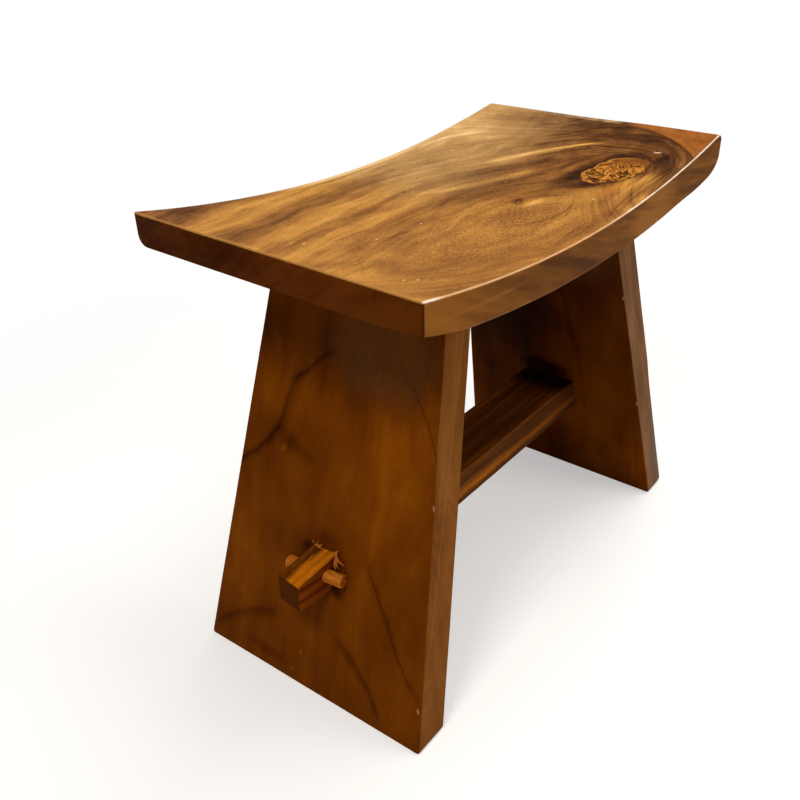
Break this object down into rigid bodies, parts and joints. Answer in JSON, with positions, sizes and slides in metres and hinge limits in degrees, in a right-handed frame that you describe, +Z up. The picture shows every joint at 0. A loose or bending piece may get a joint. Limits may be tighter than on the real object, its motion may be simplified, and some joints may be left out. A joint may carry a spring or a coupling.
{
  "type": "wooden stool",
  "caption": "Low solid-wood stool with a curved board seat on splayed tapering board legs, joined by a stretcher whose pegged tenons pass through the legs.",
  "frame": {"origin": "on the floor, under the middle of the seat", "axes": "+Z up; +X along the seat, towards the end with the round nose; the front long side faces -Y"},
  "size_m": [0.548, 0.29, 0.4515],
  "materials": {
    "seat_wood": "oiled golden brown with dark flowing figure, satin",
    "leg_wood": "oiled dark reddish brown, satin",
    "bar_wood": "oiled striped brown, satin",
    "peg_wood": "bare orange tan, dull",
    "dowel_wood": "bare pale wood, dull"
  },
  "bodies": {
    "root": {"seat": "seat_wood", "left_leg": "leg_wood", "right_leg": "leg_wood", "stretcher": "bar_wood", "left_tenon_peg": "peg_wood", "right_tenon_peg": "peg_wood", "left_leg_dowel_front": "dowel_wood", "left_leg_dowel_middle": "dowel_wood", "left_leg_dowel_back": "dowel_wood", "right_leg_dowel_front": "dowel_wood", "right_leg_dowel_middle": "dowel_wood", "right_leg_dowel_back": "dowel_wood"}
  },
  "joints": []
}
